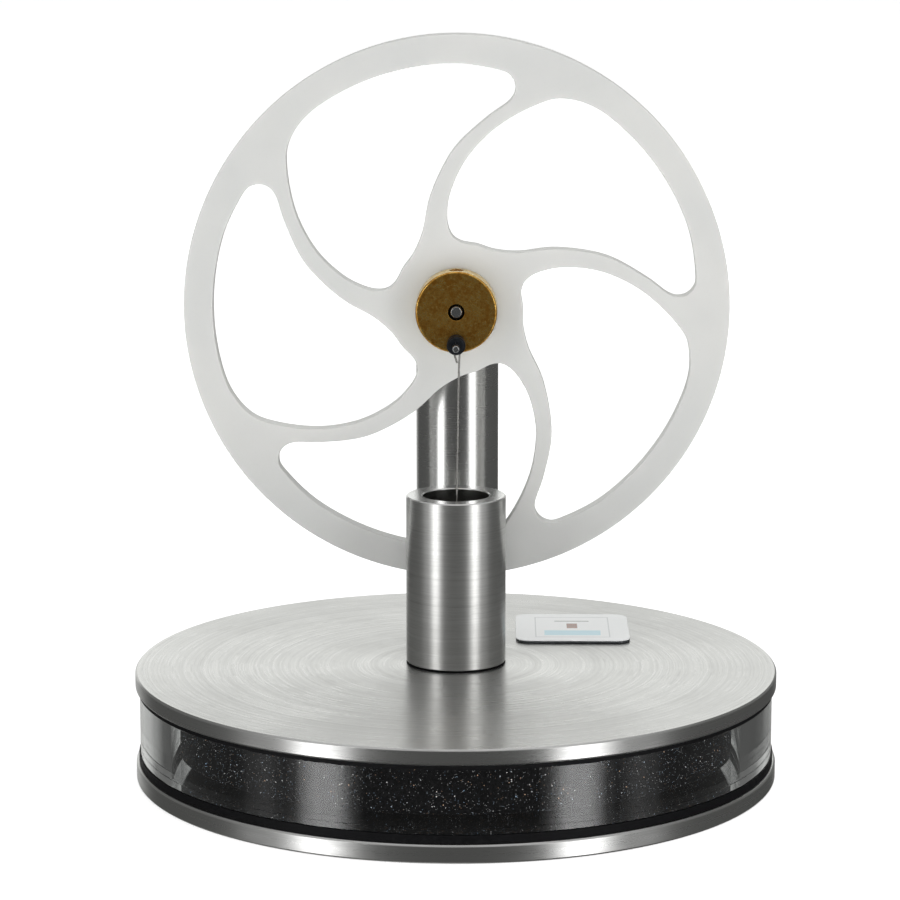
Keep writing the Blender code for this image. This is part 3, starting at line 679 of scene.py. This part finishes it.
def make_displacer(mats):
    """The foam disc, with a hole for the bush and a sunk place for the magnet."""
    low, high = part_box("displacer_foam")
    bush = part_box("guide_bush")[1].x + GAP
    magnet_low, magnet_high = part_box("displacer_magnet")
    recess = magnet_high.x + GAP
    floor = magnet_low.z - GAP
    chamfer = 0.5 * MM
    foam = turned("displacer_glitter_foam", [
        (bush, low.z), (high.x - chamfer, low.z), (high.x, low.z + chamfer), (high.x, high.z),
        (recess, high.z), (recess, floor), (bush, floor),
    ], mats["foam"], sides=FINE, edge=0.2 * MM)
    stand_in(foam, "displacer", "black_foam", "displacer_foam")


def make_flywheel(mats):
    """A flat disc with five windows and a hole for the hub's boss."""
    low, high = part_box("flywheel")
    centre = middle("flywheel")
    outlines = [circle(high.x, FINE), circle(HUB_BOSS + GAP, 64)]
    for spoke in range(SPOKES):
        turn = 360 * spoke / SPOKES + WINDOW_TURN
        corners = []
        for radius, angle in WINDOW:
            a = math.radians(angle + turn)
            corners.append((radius * MM * math.cos(a), -radius * MM * math.sin(a)))
        outlines.append(smooth_loop(corners, 6))
    wheel = show("flywheel_opal", extruded("flywheel_opal", outlines, high.y - low.y), mats["opal"],
                 (0, low.y, centre.z), "Y", sharp=40)
    stand_in(bevelled(wheel, 0.12 * MM, segments=2, angle=50), "crankshaft", "white_plastic", "flywheel")


def make_hub(mats):
    """The brass disc, with holes for the shaft, for the crank pin and, from its side, for the grub screw."""
    low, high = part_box("crank_hub")
    axis = middle("crank_hub")
    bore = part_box("shaft")[1].x + SLIP
    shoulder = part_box("flywheel")[0].y - low.y - GAP
    deep = high.y - low.y
    chamfer = 0.2 * MM
    recess_deep = 0.5 * MM
    hub = turned("crank_hub_turned", [
        (HUB_RECESS, 0), (high.x - chamfer, 0), (high.x, chamfer), (high.x, shoulder), (HUB_BOSS, shoulder),
        (HUB_BOSS, deep), (bore, deep), (bore, recess_deep), (HUB_RECESS, recess_deep),
    ], mats["brass"], (0, low.y, axis.z), "Y", edge=0.08 * MM)
    pin_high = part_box("crank_pin")[1]
    pin_hole = tube(0, pin_high.x + SLIP, -BEYOND, pin_high.y - low.y + GAP)
    place = (0, low.y, middle("crank_pin").z)
    cut(hub, turned("pin_tool", pin_hole, None, place, "Y", sides=SMALL, edge=0))
    grub_hole = tube(0, 1.02 * MM, 0, high.x + BEYOND)
    place = (0, middle("hub_grub_screw").y, axis.z)
    cut(hub, turned("grub_tool", grub_hole, None, place, sides=SMALL, edge=0))
    stand_in(hub, "crankshaft", "brass", "crank_hub")


def make_shaft_line(mats):
    """Round pieces on the shaft and on the crank pin: (node, bore, chamfer, material, slot)."""
    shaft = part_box("shaft")[1].x + SLIP
    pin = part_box("crank_pin")[1].x + SLIP
    for node, bore, chamfer, paint, slot in (
        ("shaft", 0, 0.28 * MM, "steel", "bright_steel"),
        ("front_spacer", shaft, 0.05 * MM, "steel", "bright_steel"),
        ("rear_spacer", shaft, 0.05 * MM, "steel", "bright_steel"),
        ("rear_collar", shaft, 0.2 * MM, "brass", "brass"),
        ("crank_pin", 0, 0.1 * MM, "steel", "bright_steel"),
        ("front_pin_collar", pin, 0.25 * MM, "plastic", "black_plastic"),
        ("rear_pin_collar", pin, 0.15 * MM, "plastic", "black_plastic"),
    ):
        low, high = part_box(node)
        centre = (low + high) / 2
        piece = turned(f"{node}_round", tube(bore, high.x, 0, high.y - low.y, chamfer), mats[paint],
                       (0, low.y, centre.z), "Y", sides=SMALL, edge=0.04 * MM)
        if node == "rear_collar":
            grub_hole = tube(0, 0.62 * MM, 0, high.x + BEYOND)
            place = (0, middle("collar_grub_screw").y, centre.z)
            cut(piece, turned("collar_tool", grub_hole, None, place, sides=SMALL, edge=0))
        stand_in(piece, "crankshaft", slot, node)


def make_piston(mats):
    """A closed top and a recess for the magnet in the foot."""
    low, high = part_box("power_piston")
    centre = middle("power_piston")
    magnet_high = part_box("piston_magnet")[1]
    recess = magnet_high.x + GAP
    ceiling = magnet_high.z + GAP
    chamfer = 0.25 * MM
    piston = turned("piston_graphite", [
        (recess, low.z), (high.x - chamfer, low.z), (high.x, low.z + chamfer), (high.x, high.z - chamfer),
        (high.x - chamfer, high.z), (0, high.z), (0, ceiling), (recess, ceiling),
    ], mats["graphite"], (0, centre.y, 0))
    stand_in(piston, "piston", "graphite", "power_piston")


def make_wire(mats):
    """The connecting rod: a loop round the crank pin, a short tail, and one wire down to the piston."""
    low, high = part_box("conrod_wire")
    pin = middle("crank_pin")
    piston = middle("power_piston")
    wire = 0.15 * MM       # radius of the wire
    loop = 0.72 * MM       # radius of the loop's middle line
    loop_y = high.y - wire
    top = Vector((0.42 * MM, loop_y, pin.z - 2.45 * MM))
    foot_half = 0.45 * MM
    foot = Vector((0, piston.y - foot_half, low.z + wire))
    bend = 2 * wire
    route = [(top.x - 1.9 * wire, loop_y, top.z - 0.2 * MM)]
    for degrees in range(220, -30, -5):
        angle = math.radians(degrees)
        route.append((loop * math.cos(angle), loop_y, pin.z + loop * math.sin(angle)))
    route += [(top.x + 0.12 * MM, loop_y, pin.z - 1.0 * MM), (top.x + 0.02 * MM, loop_y, top.z)]
    # points on the straight stretch keep its shading even
    route += [tuple(top.lerp(foot, share)) for share in (0.04, 0.5, 0.96)]
    route += [(0, foot.y, foot.z + bend), (0, foot.y + 0.3 * bend, foot.z + 0.3 * bend),
              (0, foot.y + bend, foot.z), (0, piston.y + foot_half, foot.z)]
    curve = bpy.data.curves.new("conrod_spring_wire", "CURVE")
    curve.dimensions = "3D"
    curve.bevel_depth = wire
    curve.bevel_resolution = 4
    curve.use_fill_caps = True
    spline = curve.splines.new("POLY")
    spline.points.add(len(route) - 1)
    for point, place in zip(spline.points, route):
        point.co = (*place, 1)
    curve.materials.append(mats["wire"])
    rod = bpy.data.objects.new("conrod_spring_wire", curve)
    bpy.context.scene.collection.objects.link(rod)
    stand_in(rod, "connecting_rod", "bright_steel", "conrod_wire")


def paint_cad_nodes(mats):
    """The hidden pieces keep their CAD shape."""
    for paint, names in (
        ("steel", ("guide_pin", "tower_screw", "front_bearing_outer_ring", "rear_bearing_outer_ring",
                   "front_bearing_inner_ring", "rear_bearing_inner_ring")),
        ("dark", ("hub_grub_screw", "collar_grub_screw")),
        ("nickel", ("piston_magnet", "displacer_magnet")),
        ("ptfe", ("guide_bush",)),
        ("yoke", ("piston_yoke",)),
    ):
        for name in names:
            slots = nodes[name].material_slots
            for index in range(len(slots)):
                slots[index].material = mats[paint]


# ---- stage, light and camera -------------------------------------------------------------------------

def make_floor():
    """A large pale sheet, left out of reflections and refractions."""
    mesh = bpy.data.meshes.new("floor")
    bm = bmesh.new()
    bmesh.ops.create_circle(bm, cap_ends=True, radius=4.0, segments=96)
    bm.to_mesh(mesh)
    bm.free()
    paint = Paint("pale_floor", (0.9, 0.9, 0.9), 0.0, 0.85,
                  Emission_Color=(1, 1, 1, 1), Emission_Strength=0.6)
    fibre = paint.noise(paint.where, 400, 3.0, 0.6)
    paint.set(paint.shader, "Base Color", paint.mix(fibre, (0.9, 0.9, 0.9), (0.93, 0.93, 0.93)))
    floor = show("floor", mesh, paint.material)
    floor.visible_glossy = False
    floor.visible_transmission = False
    floor.visible_shadow = False


def soften(light):
    """Fade a soft box towards its upright edges, as a real one does."""
    light.use_nodes = True
    tree = Tree(light.node_tree)
    place = tree.node("ShaderNodeNewGeometry").outputs["Parametric"]
    stops = ((0.0, 0.0), (0.14, 0.15), (0.36, 1.0), (0.64, 1.0), (0.86, 0.15), (1.0, 0.0))
    fade = tree.ramp(tree.split(place)[0], stops, "EASE")
    tree.set(light.node_tree.nodes["Emission"], "Color", fade)


def hang(name, light, place, aim):
    """Put a light at place, turned to aim and hidden from the camera."""
    lamp = bpy.data.objects.new(name, light)
    bpy.context.scene.collection.objects.link(lamp)
    lamp.location = place
    lamp.rotation_euler = (Vector(place) - Vector(aim)).to_track_quat("Z", "Y").to_euler()
    lamp.visible_camera = False
    return lamp


def area_light(name, azimuth, elevation, distance, width, height, power, aim=(0, 0, 0.05), soft=True):
    """A light box at a distance from aim; azimuth 0 is the camera's side and grows towards +X."""
    light = bpy.data.lights.new(name, "AREA")
    light.shape = "RECTANGLE"
    light.size = width
    light.size_y = height
    light.energy = power
    if soft:
        soften(light)
    a, e = math.radians(azimuth), math.radians(elevation)
    out = Vector((math.sin(a) * math.cos(e), -math.cos(a) * math.cos(e), math.sin(e)))
    return hang(name, light, Vector(aim) + out * distance, aim)


def spot_light(name, place, aim, width, power):
    """A soft spot, width degrees wide."""
    light = bpy.data.lights.new(name, "SPOT")
    light.energy = power
    light.shadow_soft_size = 0.06
    light.spot_size = math.radians(width)
    light.spot_blend = 1.0
    return hang(name, light, place, aim)


def make_lights():
    """Two light boxes with dimmer ones beside them, light from above, and two fills for the matt pieces."""
    area_light("left_box", -47.5, 4, 0.9, 0.48, 1.2, 4.9)
    area_light("right_box", 45, 4, 0.9, 0.47, 1.2, 5.0)
    area_light("left_glow", -72, 4, 0.9, 0.4, 1.2, 0.42)
    area_light("right_glow", 70, 4, 0.9, 0.4, 1.2, 0.48)
    above = area_light("top_box", 160, 70, 1.2, 1.0, 0.8, 4.2, soft=False)
    above.visible_glossy = False
    wheel_foot = (0, 0, 0.03)
    for fill in (
        area_light("front_fill", 0, 8, 0.5, 0.3, 0.2, 0.5, wheel_foot, soft=False),
        spot_light("low_fill", (0, -0.49, 0.12), wheel_foot, 15, 1.7),
    ):
        fill.visible_glossy = False
        fill.visible_transmission = False


def make_world():
    """A studio room: pale behind and above, dark in front and at the sides, plain white to the eye.

    The walls are turned a little about the vertical, by an angle that grows with the height looked at.
    """
    world = bpy.data.worlds.new("studio")
    bpy.context.scene.world = world
    world.use_nodes = True
    world.node_tree.nodes.clear()
    room = Tree(world.node_tree)
    way = room.node("ShaderNodeTexCoord").outputs["Generated"]
    swing = room.node("ShaderNodeVectorRotate", rotation_type="Z_AXIS")
    room.set(swing, "Vector", way)
    room.set(swing, "Angle", room.spread(room.split(way)[2], 0.12, 0.45, math.radians(-9), math.radians(9)))
    x, y, z = room.split(swing.outputs[0])
    from_front = room.math("ARCTAN2", room.math("ABSOLUTE", x), room.math("MULTIPLY", y, -1))
    share = room.math("DIVIDE", from_front, math.pi)
    stops = ((0.0, 0.12), (0.2, 0.13), (0.5, 0.15), (0.83, 0.14), (0.91, 0.8), (1.0, 1.0))
    walls = room.ramp(share, stops, tint=(0.99, 1, 0.975))
    colour = room.mix(room.spread(z, 0.6, 0.92, smooth=True), walls, (0.65, 0.65, 0.65))
    darker_low = room.spread(z, -0.2, 0.04, 0.55, 1.0, smooth=True)
    backdrop = room.spread(share, 0.84, 0.92, 0.0, 0.6, smooth=True)
    unseen = room.node("ShaderNodeBackground")
    room.set(unseen, 0, colour)
    room.set(unseen, 1, room.math("MAXIMUM", darker_low, backdrop))
    seen = room.node("ShaderNodeBackground")
    room.set(seen, 0, (1, 1, 1, 1))
    both = room.switch("Is Camera Ray", unseen.outputs[0], seen.outputs[0])
    room.set(room.node("ShaderNodeOutputWorld"), 0, both)


def make_camera():
    camera = bpy.data.cameras.new("camera")
    camera.lens = 139.9
    camera.sensor_width = 36
    camera.shift_x = -0.0065
    camera.shift_y = 0.0177
    camera.clip_start = 0.01
    camera.clip_end = 20
    eye = bpy.data.objects.new("camera", camera)
    bpy.context.scene.collection.objects.link(eye)
    eye.location = Vector((5.3, -492.8, 140.31)) * MM
    aim = Vector((0, 0, 45)) * MM
    eye.rotation_euler = (eye.location - aim).to_track_quat("Z", "Y").to_euler()
    bpy.context.scene.camera = eye


def main():
    mats = make_materials()
    make_base(mats)
    make_top_plate(mats)
    make_cylinder(mats)
    make_tower(mats)
    make_badge(mats)
    make_displacer(mats)
    make_flywheel(mats)
    make_hub(mats)
    make_shaft_line(mats)
    make_piston(mats)
    make_wire(mats)
    paint_cad_nodes(mats)
    make_floor()
    make_world()
    make_lights()
    make_camera()
    bpy.context.scene.view_settings.view_transform = "Standard"


main()
